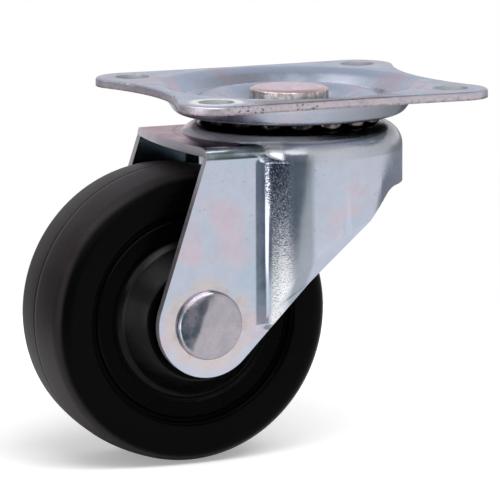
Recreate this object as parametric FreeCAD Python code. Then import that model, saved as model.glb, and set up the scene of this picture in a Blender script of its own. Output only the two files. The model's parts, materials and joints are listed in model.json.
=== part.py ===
import FreeCAD, Part
import math
import os

# Rubber swivel castor, in millimetres.
# The origin is on the swivel axis in the plate's top face, +Z is up, the wheel's axle is along Y
# and the wheel trails towards -X.

# Sheet thicknesses
PLATE_SHEET = 1.45
FORK_SHEET = 1.5
CUP_SHEET = 1.2

# Mounting plate: four round ears, hollowed sides, a round dish for the race
HOLE_SPACING_X = 42.5
HOLE_SPACING_Y = 37.0
HOLE_RADIUS = 3.0
EAR_RADIUS = 6.3
SHORT_SIDE_HOLLOW = 3.7
LONG_SIDE_HOLLOW = 0.5
DISH_DEPTH = 3.5
DISH_RIM_RADIUS = 21.0
DISH_WALL_ANGLE = 55.0
DISH_RIM_BEND = 3.0
DISH_FOOT_BEND = 0.6
PLATE_EDGE_ROLL = 0.45

# Balls and the pitch circles on which they run
UPPER_BALL_RADIUS = 2.38
UPPER_BALL_COUNT = 17
UPPER_BALL_LEVEL = -5.45
LOWER_BALL_RADIUS = 1.985
LOWER_BALL_COUNT = 13
RACE_FIT = 0.05
BALL_SPACING_FIT = 0.04
GROOVE_RADIUS = 2.6
FLANK_ANGLE = 45.0

# Kingpin
KINGPIN_HEAD_RADIUS = 6.7
KINGPIN_HEAD_SUNK = 0.67
KINGPIN_HEAD_CHAMFER = 0.75
KINGPIN_CHAMFER_DROP = 0.35
KINGPIN_RADIUS = 4.0
KINGPIN_NECK_RADIUS = 3.2
KINGPIN_TAIL_RADIUS = 5.2
KINGPIN_TAIL_HEIGHT = 1.4
KINGPIN_TAIL_ROUND = 0.85

# Fork
CROWN_RADIUS = 19.2
CROWN_CREST_LEVEL = -6.45
CROWN_CREST_SLOPE = 20.0
CROWN_CREST_BEND = 0.6
CROWN_SHOULDER_BEND = 3.9
CROWN_CENTRE_LEVEL = -6.3
CROWN_CENTRE_BEND = 0.8
CROWN_HOLE_RADIUS = 6.0
SKIRT_LEVEL = -16.6
FRONT_LEVEL = -8.1
FRONT_REACH = 21.6
FRONT_BOW = 1.3
FORK_WIDTH = 31.0
FORK_BEND = 2.0
LEG_END_RADIUS = 8.85
REAR_EDGE_ANGLE = 45.0
REAR_NOTCH_RADIUS = 4.0
BULGE_FOOT_OFFSET = 3.3
BULGE_FOOT_TURN = 11.0
BULGE_RAMP_ANGLE = 48.0

# Wheel and axle
TRAIL = 21.55
WHEEL_RADIUS = 25.0
WHEEL_TOP_GAP = 2.89
TREAD_WIDTH = 19.0
TREAD_CROWN = 0.45
TREAD_SHOULDER = 3.0
TREAD_SEAM_LAND = 0.1
TYRE_DEPTH = 7.3
BEAD_LEAN = 0.35
BEAD_BEND = 0.5
WEB_DEPTH = 1.7
WEB_RING_HEIGHT = 0.5
HUB_RADIUS = 9.8
HUB_WALL = 1.3
HUB_SIDE_GAP = 1.4
HUB_EDGE_BEND = 0.7
HUB_FOOT_RISE = 0.9
BOSS_RADIUS = 6.3
BOSS_END_PLAY = 0.4
BOSS_EDGE_BEND = 0.3
MOULD_DRAFT = 0.2
MOULD_BEND = 0.6
AXLE_RADIUS = 3.0
AXLE_HEAD_RADIUS = 5.8
AXLE_HEAD_HEIGHT = 1.0
AXLE_HEAD_ROUND = 0.7
AXLE_FAR_HEAD_RADIUS = 4.8
AXLE_FAR_HEAD_HEIGHT = 1.7
AXLE_FAR_HEAD_ROUND = 1.35
SLEEVE_WALL = 1.2
AXLE_FIT = 0.05

# Lower race cup
CUP_RIM_GAP = 0.75
CUP_WALL_FIT = 0.45
CUP_FOOT_BEND = 1.6
CUP_STEP_SPREAD = 0.5
CUP_STEP_BEND = 0.5
CUP_STEP_FOOT_BEND = 0.8

# Sizes that follow from the ones above
HALF_FORK = FORK_WIDTH / 2
INNER_HALF_FORK = HALF_FORK - FORK_SHEET
HUB_WIDTH = 2 * (INNER_HALF_FORK - HUB_SIDE_GAP)
TYRE_SEAT_RADIUS = WHEEL_RADIUS - TYRE_DEPTH
AXLE_LEVEL = FRONT_LEVEL - FORK_SHEET - WHEEL_TOP_GAP - WHEEL_RADIUS
UPPER_CHORD_ANGLE = math.pi / UPPER_BALL_COUNT
UPPER_PITCH = (UPPER_BALL_RADIUS + BALL_SPACING_FIT) / math.sin(UPPER_CHORD_ANGLE)
LOWER_CHORD_ANGLE = math.pi / LOWER_BALL_COUNT
LOWER_PITCH = (LOWER_BALL_RADIUS + BALL_SPACING_FIT) / math.sin(LOWER_CHORD_ANGLE)
CENTRE_UNDERSIDE = CROWN_CENTRE_LEVEL - FORK_SHEET
LOWER_BALL_LEVEL = CENTRE_UNDERSIDE - RACE_FIT - LOWER_BALL_RADIUS
CUP_FLOOR_LEVEL = LOWER_BALL_LEVEL - LOWER_BALL_RADIUS - RACE_FIT
SLEEVE_RADIUS = AXLE_RADIUS + AXLE_FIT + SLEEVE_WALL
AXLE_CENTRE = FreeCAD.Vector(-TRAIL, 0, AXLE_LEVEL)
UP = FreeCAD.Vector(0, 0, 1)


def vec(x, z):
    return FreeCAD.Vector(x, 0, z)


def unit(a, b):
    d = b - a
    return d / d.Length


def turn(d1, d2):
    # Signed turn from one direction to the next in the XZ plane
    return math.atan2(d1.x * d2.z - d1.z * d2.x, d1.x * d2.x + d1.z * d2.z)


def rounded_edges(corners, closed):
    # Edges of an outline whose corners are (x, z, radius), joined by tangent arcs
    n = len(corners)
    points = [vec(c[0], c[1]) for c in corners]
    starts, ends, arcs = [], [], []
    for i, corner in enumerate(corners):
        radius = corner[2] if len(corner) > 2 else 0
        inner = closed or 0 < i < n - 1
        if not inner or radius <= 0:
            starts.append(points[i])
            ends.append(points[i])
            arcs.append(None)
            continue
        d1 = unit(points[i - 1], points[i])
        d2 = unit(points[i], points[(i + 1) % n])
        angle = turn(d1, d2)
        reach = radius * math.tan(abs(angle) / 2)
        a = points[i] - d1 * reach
        b = points[i] + d2 * reach
        bisector = d2 - d1
        bisector = bisector / bisector.Length
        depth = radius / math.cos(angle / 2) - radius
        starts.append(a)
        ends.append(b)
        arcs.append(points[i] + bisector * depth)
    edges = []
    for i in range(n):
        if arcs[i] is not None:
            edges.append(Part.Arc(starts[i], arcs[i], ends[i]).toShape())
        if i == n - 1 and not closed:
            break
        following = starts[(i + 1) % n]
        if (following - ends[i]).Length > 1e-6:
            edges.append(Part.LineSegment(ends[i], following).toShape())
    return edges


def offset_corners(corners, distance):
    # The same outline moved to its right-hand side, with concentric corner radii
    n = len(corners)
    points = [vec(c[0], c[1]) for c in corners]
    directions = [unit(points[i], points[i + 1]) for i in range(n - 1)]
    rights = [FreeCAD.Vector(d.z, 0, -d.x) for d in directions]
    moved = []
    for i in range(n):
        if i == 0:
            q = points[0] + rights[0] * distance
            moved.append((q.x, q.z, 0))
            continue
        if i == n - 1:
            q = points[i] + rights[-1] * distance
            moved.append((q.x, q.z, 0))
            continue
        angle = turn(directions[i - 1], directions[i])
        bisector = rights[i - 1] + rights[i]
        bisector = bisector / bisector.Length
        q = points[i] + bisector * (distance / math.cos(angle / 2))
        radius = corners[i][2] if len(corners[i]) > 2 else 0
        grown = radius + distance if angle > 0 else radius - distance
        moved.append((q.x, q.z, max(grown, 0)))
    return moved


def sheet_section(corners, thickness):
    # Closed section of a sheet that lies to the right of an outline
    top = rounded_edges(corners, False)
    under = offset_corners(corners, thickness)
    bottom = rounded_edges(under[::-1], False)
    first = Part.LineSegment(vec(*corners[-1][:2]), vec(*under[-1][:2])).toShape()
    last = Part.LineSegment(vec(*under[0][:2]), vec(*corners[0][:2])).toShape()
    return Part.Face(Part.Wire(top + [first] + bottom + [last]))


def revolved(face, centre=FreeCAD.Vector(0, 0, 0), axis=UP):
    return face.revolve(centre, axis, 360)


def solid_of_turning(corners):
    # Solid turned about the swivel axis from a closed outline of (radius, level, bend)
    return revolved(Part.Face(Part.Wire(rounded_edges(corners, True))))


def on_axle(corners):
    # Solid turned about the wheel's axle from a closed outline of (radius, place along Y, bend)
    face = Part.Face(Part.Wire(rounded_edges(corners, True)))
    turned = revolved(face)
    turned.rotate(FreeCAD.Vector(0, 0, 0), FreeCAD.Vector(1, 0, 0), -90)
    turned.translate(AXLE_CENTRE)
    return turned


def cylinder(radius, bottom, top):
    return Part.makeCylinder(radius, top - bottom, FreeCAD.Vector(0, 0, bottom))


def clean(shape):
    shape = shape.removeSplitter()
    return shape.Solids[0] if len(shape.Solids) == 1 else shape


def eared_outline():
    # Plan of the plate: ear arcs joined by hollow arcs that touch them
    ex = HOLE_SPACING_X / 2
    ey = HOLE_SPACING_Y / 2

    def hollow(half_gap, depth):
        d = EAR_RADIUS - depth
        radius = (d * d + half_gap * half_gap - EAR_RADIUS ** 2) / (2 * depth)
        return radius, d + radius

    short_radius, short_reach = hollow(ey, SHORT_SIDE_HOLLOW)
    long_radius, long_reach = hollow(ex, LONG_SIDE_HOLLOW)
    edges = []
    for sx, sy in ((1, 1), (-1, 1), (-1, -1), (1, -1)):
        ear = FreeCAD.Vector(sx * ex, sy * ey, 0)
        short_centre = FreeCAD.Vector(sx * (ex + short_reach), 0, 0)
        long_centre = FreeCAD.Vector(0, sy * (ey + long_reach), 0)
        short_touch = ear + unit(ear, short_centre) * EAR_RADIUS
        long_touch = ear + unit(ear, long_centre) * EAR_RADIUS
        tip = ear + unit(FreeCAD.Vector(0, 0, 0), ear) * EAR_RADIUS
        edges.append(Part.Arc(short_touch, tip, long_touch).toShape())
        if sy > 0:
            mid = FreeCAD.Vector(sx * (ex + short_reach - short_radius), 0, 0)
            mirrored = FreeCAD.Vector(short_touch.x, -short_touch.y, 0)
            edges.append(Part.Arc(short_touch, mid, mirrored).toShape())
        if sx > 0:
            mid = FreeCAD.Vector(0, sy * (ey + long_reach - long_radius), 0)
            mirrored = FreeCAD.Vector(-long_touch.x, long_touch.y, 0)
            edges.append(Part.Arc(long_touch, mid, mirrored).toShape())
    return Part.Face(Part.Wire(Part.__sortEdges__(edges)))


def apex_level(crest, bend):
    # Level where two flanks would meet above a rounded crest
    half = math.radians(FLANK_ANGLE)
    return crest + bend * (1 / math.cos(half) - 1)


def on_upper_outline(edge):
    # The outline's edges lie in the top face, away from the dish round the origin
    box = edge.BoundBox
    level = abs(box.ZMin) < RACE_FIT and abs(box.ZMax) < RACE_FIT
    return level and edge.CenterOfMass.Length > DISH_RIM_RADIUS / 2


def top_plate():
    floor = -DISH_DEPTH
    bend = GROOVE_RADIUS + PLATE_SHEET
    crest = UPPER_BALL_LEVEL + UPPER_BALL_RADIUS + RACE_FIT + PLATE_SHEET
    apex = apex_level(crest, bend)
    flank = (apex - floor) / math.tan(math.radians(FLANK_ANGLE))
    foot = DISH_RIM_RADIUS - DISH_DEPTH / math.tan(math.radians(DISH_WALL_ANGLE))
    blank_radius = HOLE_SPACING_X + HOLE_SPACING_Y
    corners = [
        (KINGPIN_RADIUS, floor, 0),
        (UPPER_PITCH - flank, floor, DISH_FOOT_BEND),
        (UPPER_PITCH, apex, bend),
        (UPPER_PITCH + flank, floor, DISH_FOOT_BEND),
        (foot, floor, DISH_FOOT_BEND),
        (DISH_RIM_RADIUS, 0, DISH_RIM_BEND),
        (blank_radius, 0, 0),
    ]
    pressed = revolved(sheet_section(corners, PLATE_SHEET))
    depth = DISH_DEPTH + 2 * PLATE_SHEET
    plan = eared_outline()
    plan.translate(FreeCAD.Vector(0, 0, -depth))
    plate = clean(pressed.common(plan.extrude(UP * (depth + PLATE_SHEET))))
    # The shearing rolls over the upper edge all round
    plate = plate.makeFillet(PLATE_EDGE_ROLL, [e for e in plate.Edges if on_upper_outline(e)])
    for sx in (-1, 1):
        for sy in (-1, 1):
            hole = cylinder(HOLE_RADIUS, -depth, PLATE_SHEET)
            hole.translate(FreeCAD.Vector(sx * HOLE_SPACING_X / 2, sy * HOLE_SPACING_Y / 2, 0))
            plate = plate.cut(hole)
    return clean(plate)


def kingpin():
    head_top = -KINGPIN_HEAD_SUNK
    cup_top = cup_centre_level()
    cup_bottom = cup_top - CUP_SHEET
    tail = cup_bottom - KINGPIN_TAIL_HEIGHT
    rim = KINGPIN_HEAD_RADIUS - KINGPIN_HEAD_CHAMFER
    return solid_of_turning([
        (0, head_top),
        (rim, head_top),
        (KINGPIN_HEAD_RADIUS, head_top - KINGPIN_CHAMFER_DROP),
        (KINGPIN_HEAD_RADIUS, -DISH_DEPTH),
        (KINGPIN_RADIUS, -DISH_DEPTH),
        (KINGPIN_RADIUS, cup_top),
        (KINGPIN_NECK_RADIUS, cup_top),
        (KINGPIN_NECK_RADIUS, cup_bottom),
        (KINGPIN_TAIL_RADIUS, cup_bottom),
        (KINGPIN_TAIL_RADIUS, tail, KINGPIN_TAIL_ROUND),
        (0, tail),
    ])


def cup_centre_level():
    # The cup's centre is drawn up inside the ball ring, so that the kingpin's tail lies in it
    return LOWER_BALL_LEVEL - RACE_FIT


def lower_race_cup():
    top = cup_centre_level()
    inner_foot = LOWER_PITCH - LOWER_BALL_RADIUS
    wall = LOWER_PITCH + LOWER_BALL_RADIUS + CUP_WALL_FIT
    rim = CENTRE_UNDERSIDE - FORK_SHEET - CUP_RIM_GAP
    corners = [
        (KINGPIN_NECK_RADIUS, top, 0),
        (inner_foot - CUP_STEP_SPREAD, top, CUP_STEP_BEND),
        (inner_foot + CUP_STEP_SPREAD, CUP_FLOOR_LEVEL, CUP_STEP_FOOT_BEND),
        (wall, CUP_FLOOR_LEVEL, CUP_FOOT_BEND),
        (wall, rim, 0),
    ]
    return clean(revolved(sheet_section(corners, CUP_SHEET)))


def ball_ring(count, pitch, radius, level):
    step = 2 * math.pi / count
    for i in range(count):
        place = FreeCAD.Vector(pitch * math.cos(i * step), pitch * math.sin(i * step), level)
        yield Part.makeSphere(radius, place)


def crown_section(inset):
    # Filled section of the crown, its surface moved inward by the inset
    bend = GROOVE_RADIUS
    bottom = UPPER_BALL_LEVEL - UPPER_BALL_RADIUS - RACE_FIT
    apex = bottom - bend * (1 / math.cos(math.radians(FLANK_ANGLE)) - 1)
    slope = math.tan(math.radians(FLANK_ANGLE))
    crest = UPPER_PITCH + (CROWN_CREST_LEVEL - apex) / slope
    plateau = UPPER_PITCH - (CROWN_CENTRE_LEVEL - apex) / slope
    fall = math.radians(CROWN_CREST_SLOPE)
    land = (CROWN_RADIUS - crest) / math.cos(fall)
    crest_turn = math.radians(FLANK_ANGLE + CROWN_CREST_SLOPE)
    shoulder_turn = math.pi / 2 - fall
    # The shoulder's bend is limited by the land between the groove and the wall
    widest = (land - FORK_SHEET * math.tan(crest_turn / 2)) / math.tan(shoulder_turn / 2)
    corners = [
        (CROWN_RADIUS, 2 * AXLE_LEVEL, 0),
        (CROWN_RADIUS, CROWN_CREST_LEVEL - land * math.sin(fall), max(min(CROWN_SHOULDER_BEND, widest), 0)),
        (crest, CROWN_CREST_LEVEL, min(CROWN_CREST_BEND, max(land, 0))),
        (UPPER_PITCH, apex, bend),
        (plateau, CROWN_CENTRE_LEVEL, CROWN_CENTRE_BEND),
        (0, CROWN_CENTRE_LEVEL, 0),
    ]
    if inset > 0:
        left = [(-c[0], c[1], c[2]) for c in corners]
        moved = offset_corners(left, inset)
        corners = [(-c[0], c[1], c[2]) for c in moved]
        corners[-1] = (0, corners[-1][1], 0)
    wall = corners[0][0]
    ridge = corners[2]
    if ridge[0] > wall:
        # In a narrow crown the groove's flank runs out at the wall
        corners[1:3] = [(wall, ridge[1] - (ridge[0] - wall) * slope, 0)]
    base = [(0, 2 * AXLE_LEVEL, 0)]
    return solid_of_turning(base + corners)


def channel(inset):
    # Filled front of the fork: flat top and two flat sides joined by bends
    half = HALF_FORK - inset
    top = FRONT_LEVEL - inset
    bend = max(FORK_BEND - inset, 0)
    rear = math.sqrt((CROWN_RADIUS - inset) ** 2 - half ** 2)
    front = -2 * FRONT_REACH
    low = 2 * AXLE_LEVEL
    edges = rounded_edges([(-half, low), (-half, top, bend), (half, top, bend), (half, low)], True)
    face = Part.Face(Part.Wire(edges))
    face.rotate(FreeCAD.Vector(0, 0, 0), UP, 90)
    face.translate(FreeCAD.Vector(front, 0, 0))
    return face.extrude(FreeCAD.Vector(rear - front, 0, 0))


def ramp_cutter(inset, side):
    # Wedge below the sloping foot of the bulge, outside the leg's face
    half = HALF_FORK - inset
    angle = math.radians(REAR_EDGE_ANGLE)
    out = FreeCAD.Vector(math.sin(angle), 0, -math.cos(angle))
    foot = AXLE_CENTRE + out * (LEG_END_RADIUS - BULGE_FOOT_OFFSET)
    size = 4 * WHEEL_RADIUS
    lift = inset * math.tan(math.radians(BULGE_RAMP_ANGLE / 2))
    rise = size * math.tan(math.radians(BULGE_RAMP_ANGLE))
    profile = [(0, lift), (size, lift + rise), (size, -size), (0, -size), (0, lift)]
    face = Part.Face(Part.makePolygon([FreeCAD.Vector(-size / 2, y, z) for y, z in profile]))
    wedge = face.extrude(FreeCAD.Vector(size, 0, 0))
    wedge.rotate(FreeCAD.Vector(0, 0, 0), FreeCAD.Vector(0, 1, 0), BULGE_FOOT_TURN - REAR_EDGE_ANGLE)
    wedge.translate(FreeCAD.Vector(foot.x, half, foot.z))
    if side < 0:
        wedge = wedge.mirror(FreeCAD.Vector(0, 0, 0), FreeCAD.Vector(0, 1, 0))
    return wedge


def fork_form(inset):
    crown = crown_section(inset)
    for side in (-1, 1):
        crown = crown.cut(ramp_cutter(inset, side))
    return crown.fuse(channel(inset)).removeSplitter()


def leg_profile():
    # Side outline of the fork: crown, round skirt, slanted rear edge, round end and front edge
    angle = math.radians(REAR_EDGE_ANGLE)
    out = FreeCAD.Vector(math.sin(angle), 0, -math.cos(angle))
    rear_touch = AXLE_CENTRE + out * LEG_END_RADIUS
    along = FreeCAD.Vector(math.cos(angle), 0, math.sin(angle))
    reach = (SKIRT_LEVEL - rear_touch.z) / along.z
    knee = rear_touch + along * reach
    front_top = vec(-FRONT_REACH, FRONT_LEVEL - FORK_SHEET)
    to_top = front_top - AXLE_CENTRE
    lean = math.atan2(to_top.z, to_top.x) + math.acos(LEG_END_RADIUS / to_top.Length)
    front_touch = AXLE_CENTRE + vec(math.cos(lean), math.sin(lean)) * LEG_END_RADIUS
    high = vec(-FRONT_REACH - FRONT_BOW, CROWN_RADIUS)
    low_angle = (lean + 2 * math.pi - math.radians(90 - REAR_EDGE_ANGLE)) / 2
    low_point = AXLE_CENTRE + vec(math.cos(low_angle), math.sin(low_angle)) * LEG_END_RADIUS
    rest = rounded_edges([
        (rear_touch.x, rear_touch.z),
        (knee.x, knee.z, REAR_NOTCH_RADIUS),
        (2 * CROWN_RADIUS, SKIRT_LEVEL),
        (2 * CROWN_RADIUS, high.z),
        (high.x, high.z),
        (high.x, front_top.z),
        (front_top.x, front_top.z),
        (front_touch.x, front_touch.z),
    ], False)
    end = Part.Arc(front_touch, low_point, rear_touch).toShape()
    face = Part.Face(Part.Wire(rest + [end]))
    face.translate(FreeCAD.Vector(0, -2 * CROWN_RADIUS, 0))
    return face.extrude(FreeCAD.Vector(0, 4 * CROWN_RADIUS, 0))


def front_cutter():
    # What lies ahead of the bowed front edge of the fork's top
    radius = (HALF_FORK ** 2 + FRONT_BOW ** 2) / (2 * FRONT_BOW)
    bottom = FRONT_LEVEL - FORK_SHEET
    block = Part.makeBox(2 * FRONT_REACH, 2 * FORK_WIDTH, -bottom,
                         FreeCAD.Vector(-3 * FRONT_REACH, -FORK_WIDTH, bottom))
    bowed = cylinder(radius, bottom, 0)
    bowed.translate(FreeCAD.Vector(radius - FRONT_REACH - FRONT_BOW, 0, 0))
    return block.cut(bowed)


def fork():
    shell = fork_form(0).cut(fork_form(FORK_SHEET))
    shell = shell.common(leg_profile()).cut(front_cutter())
    shell = shell.cut(cylinder(CROWN_HOLE_RADIUS, FRONT_LEVEL - CROWN_RADIUS, 0))
    pin = Part.makeCylinder(AXLE_RADIUS, 2 * FORK_WIDTH,
                            AXLE_CENTRE - FreeCAD.Vector(0, FORK_WIDTH, 0), FreeCAD.Vector(0, 1, 0))
    return clean(shell.cut(pin))


def axle_rivet():
    near = -HALF_FORK - AXLE_HEAD_HEIGHT
    far = HALF_FORK + AXLE_FAR_HEAD_HEIGHT
    return on_axle([
        (0, near),
        (AXLE_HEAD_RADIUS, near, AXLE_HEAD_ROUND),
        (AXLE_HEAD_RADIUS, -HALF_FORK),
        (AXLE_RADIUS, -HALF_FORK),
        (AXLE_RADIUS, HALF_FORK),
        (AXLE_FAR_HEAD_RADIUS, HALF_FORK),
        (AXLE_FAR_HEAD_RADIUS, far, AXLE_FAR_HEAD_ROUND),
        (0, far),
    ])


def axle_sleeve():
    return on_axle([
        (AXLE_RADIUS + AXLE_FIT, -INNER_HALF_FORK),
        (SLEEVE_RADIUS, -INNER_HALF_FORK),
        (SLEEVE_RADIUS, INNER_HALF_FORK),
        (AXLE_RADIUS + AXLE_FIT, INNER_HALF_FORK),
    ])


def mirrored_about_middle(half):
    # Closed outline of a wheel part from its half on the +Y side, hub to rim
    other = [(c[0], -c[1]) + tuple(c[2:]) for c in half]
    return half + other[::-1]


def wheel_core():
    boss = INNER_HALF_FORK - BOSS_END_PLAY
    half_tread = TREAD_WIDTH / 2
    hub = HUB_WIDTH / 2
    web = half_tread - WEB_DEPTH
    ring = web + WEB_RING_HEIGHT
    span = TYRE_SEAT_RADIUS - HUB_RADIUS
    # The rings of the web keep their shares of the way from the hub to the tyre
    return on_axle(mirrored_about_middle([
        (SLEEVE_RADIUS + AXLE_FIT, boss),
        (BOSS_RADIUS, boss, BOSS_EDGE_BEND),
        (BOSS_RADIUS + MOULD_DRAFT, half_tread, MOULD_BEND),
        (HUB_RADIUS - HUB_WALL - MOULD_DRAFT, half_tread, MOULD_BEND),
        (HUB_RADIUS - HUB_WALL, hub, HUB_WALL / 3),
        (HUB_RADIUS, hub, HUB_EDGE_BEND),
        (HUB_RADIUS + 0.34 * span, web + HUB_FOOT_RISE, 0.25 * span),
        (HUB_RADIUS + 0.49 * span, web, 0.1 * span),
        (HUB_RADIUS + 0.56 * span, ring, 0.05 * span),
        (HUB_RADIUS + 0.88 * span, ring, 0.05 * span),
        (HUB_RADIUS + 0.94 * span, web, 0.025 * span),
        (TYRE_SEAT_RADIUS, web),
    ]))


def tyre():
    half_tread = TREAD_WIDTH / 2
    return on_axle(mirrored_about_middle([
        (TYRE_SEAT_RADIUS, half_tread - WEB_DEPTH),
        (TYRE_SEAT_RADIUS + BEAD_LEAN, half_tread, BEAD_BEND),
        (WHEEL_RADIUS - TREAD_CROWN, half_tread, TREAD_SHOULDER),
        (WHEEL_RADIUS, TREAD_SEAM_LAND / 2),
    ]))


def save(name, shape):
    shape.exportStep("parts/" + name + ".step")
    print(name, len(shape.Solids), round(shape.Volume, 2), shape.isValid())


def main():
    os.makedirs("parts", exist_ok=True)
    save("top_plate", top_plate())
    save("kingpin", kingpin())
    save("fork", fork())
    save("lower_race_cup", lower_race_cup())
    save("axle_rivet", axle_rivet())
    save("axle_sleeve", axle_sleeve())
    save("wheel_core", wheel_core())
    save("tyre", tyre())
    upper = ball_ring(UPPER_BALL_COUNT, UPPER_PITCH, UPPER_BALL_RADIUS, UPPER_BALL_LEVEL)
    for number, ball in enumerate(upper, 1):
        save("upper_ball_%02d" % number, ball)
    lower = ball_ring(LOWER_BALL_COUNT, LOWER_PITCH, LOWER_BALL_RADIUS, LOWER_BALL_LEVEL)
    for number, ball in enumerate(lower, 1):
        save("lower_ball_%02d" % number, ball)


main()
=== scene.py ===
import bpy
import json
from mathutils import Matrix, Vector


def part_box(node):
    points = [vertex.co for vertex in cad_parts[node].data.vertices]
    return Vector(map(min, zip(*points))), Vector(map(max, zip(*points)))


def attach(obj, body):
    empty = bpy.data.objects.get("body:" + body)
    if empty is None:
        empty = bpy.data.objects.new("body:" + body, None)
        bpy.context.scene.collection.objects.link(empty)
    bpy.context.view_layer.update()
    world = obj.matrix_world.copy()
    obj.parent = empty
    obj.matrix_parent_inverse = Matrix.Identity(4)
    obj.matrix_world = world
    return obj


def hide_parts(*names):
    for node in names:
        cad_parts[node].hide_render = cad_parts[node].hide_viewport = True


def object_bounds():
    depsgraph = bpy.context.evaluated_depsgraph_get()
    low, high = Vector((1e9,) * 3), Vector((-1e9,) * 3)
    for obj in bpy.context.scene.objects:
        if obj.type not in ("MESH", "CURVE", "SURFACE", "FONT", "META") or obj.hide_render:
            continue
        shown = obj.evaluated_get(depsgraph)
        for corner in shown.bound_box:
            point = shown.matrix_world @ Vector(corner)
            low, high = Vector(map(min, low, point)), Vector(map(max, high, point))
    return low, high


bl_info = {
    "name": "Swivel castor looks",
    "version": (1, 0, 0),
    "blender": (4, 5, 0),
    "location": "3D View > Sidebar > Castor",
    "description": "Gives a rubber swivel castor its zinc, rubber and steel finishes and its studio",
    "category": "Object",
}

import json
import math

import bmesh
import bpy
from mathutils import Euler, Matrix, Vector

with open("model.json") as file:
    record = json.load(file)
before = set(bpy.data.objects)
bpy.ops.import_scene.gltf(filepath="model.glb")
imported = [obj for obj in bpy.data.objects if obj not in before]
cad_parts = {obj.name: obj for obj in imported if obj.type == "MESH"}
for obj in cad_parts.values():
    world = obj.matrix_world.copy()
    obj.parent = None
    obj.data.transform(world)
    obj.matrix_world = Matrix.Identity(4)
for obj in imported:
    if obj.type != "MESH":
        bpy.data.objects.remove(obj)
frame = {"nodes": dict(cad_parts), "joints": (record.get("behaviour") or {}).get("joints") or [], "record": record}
CAD_LOW, CAD_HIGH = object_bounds()
MIDDLE = (CAD_LOW + CAD_HIGH) / 2

MM = 0.001

UPPER_BALLS = sorted(n for n in frame["nodes"] if n.startswith("upper_ball"))
LOWER_BALLS = sorted(n for n in frame["nodes"] if n.startswith("lower_ball"))
WHEEL_JOINT = next(j for j in frame["joints"] if j["name"] == "wheel_spin")
AXLE = Vector(WHEEL_JOINT["pos_m"])
BOLT_HOLES = next(m for m in frame["record"]["mounts"] if m["name"] == "bolt_holes")["dims"]

# Tyre, from its seat to its tread, with the groove and the small step at its parting seam
TYRE_LOW, TYRE_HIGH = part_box("tyre")
TYRE_SEGMENTS = 160
TYRE_SEAT_RADIUS = 17.7 * MM
TYRE_SEAT_DEPTH = 1.7 * MM
TYRE_BEAD = 0.5 * MM
TYRE_BEAD_LEAN = 0.35 * MM
TYRE_BEAD_FOOT = (0.25 * MM, 0.45 * MM)
TYRE_BEAD_STEPS = 5
TYRE_SHOULDER = 3.0 * MM
TYRE_SHOULDER_STEPS = 10
TREAD_CROWN = 0.45 * MM
TREAD_STEPS = 8
SEAM_HALF_WIDTH = 0.14 * MM
SEAM_FLOOR_HALF_WIDTH = 0.05 * MM
SEAM_DEPTH = 0.16 * MM
SEAM_STEP = 0.06 * MM

# Rounds on the edges of the rigid pieces
WELD_GAP = 0.002 * MM
SHARP_ANGLE = 40.0
EDGE_STEPS = 2
CORE_EDGE_ROUND = 0.1 * MM

# Stretches over which a finish fades in, in millimetres, from where it starts to where it is full. Four
# numbers are a band that fades in and out again. Heights are from the plate's face, and depths from the
# middle plane. The photograph looks from -Y, so near is -Y, left is -X and the fork's mouth is at the left.

# Ball race, its radii from the swivel axis
DISH_RACE = (15.8, 14.9)
CROWN_RACE = (17.1, 16.2)
RACE_FLOOR = (-11.0, -10.8)
RACE_ROOF = (-4.6, -4.9)
# Where grease and painted shade spread beside the race
SPREAD_RADIUS = (20.4, 17.0)
SPREAD_SIDE = (0.0, 10.0)

# Sides of the fork
LEG_OUTSIDE = (15.35, 15.6)
LEG_INSIDE = (14.2, 14.1)
BULGE_TOP = (-9.8, -11.2)
PEEL_LEFT = (-10.7, -10.1)
PEEL_RIGHT = (-6.4, -8.8)
PEEL_NARROWING = (-21.5, -15.0)
PEEL_HEIGHT = (-34.5, -11.0)
CREASE_FOOT = (-39.3, -38.1)
CREASE_TOP = (-9.4, -11.2)
CREASE_HOLLOW = (-13.4, -11.3)
CREASE_LIP = (-10.4, -11.3)
PAST_HOLLOW = (-12.6, -7.4)
PAST_LIP = (-11.1, -7.4)

# Top, bends and inner faces of the fork, and the marks round its axle
FRONT_TOP = (-9.3, -8.8)
AHEAD_OF_CROWN = (-10.0, -15.0)
CREST_FOOT = (17.4, 18.6, 19.2, 20.4)
CREST_FOOT_SIDE = (-5.0, -10.0)
CREST_FLANK = (16.7, 17.3, 17.8, 18.8)
CREST_FLANK_SIDE = (1.0, -6.0)
CROWN_HEIGHT = (-12.5, -10.0)
CROWN_RADIUS = (19.6, 19.2)
# Band of painted dark reflection down the swelled side
DARK_REFLECTION_BAND = (-7.8, -6.8, -4.6, -3.4)
BEND_DEPTH = (13.45, 13.9)
BEND_HEIGHT = (-10.25, -9.85, -8.3, -8.0)
BEND_SIDE = (-10.0, -11.8)
HALO_RADIUS = (9.0, 6.6)
STAIN_RADIUS = (7.8, 6.0)
MOUTH = (-15.0, -18.0)
SHEET_UNDERSIDE = (-9.55, -9.65)
INSIDE_LEGS = (2.0, 0.0)
INSIDE_SKIRT = (18.8, 18.2)
SHOULDER_HEIGHT = (-16.0, -13.5, -9.6, -8.2)
SHOULDER_SIDE = (-6.0, -3.0)

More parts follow.
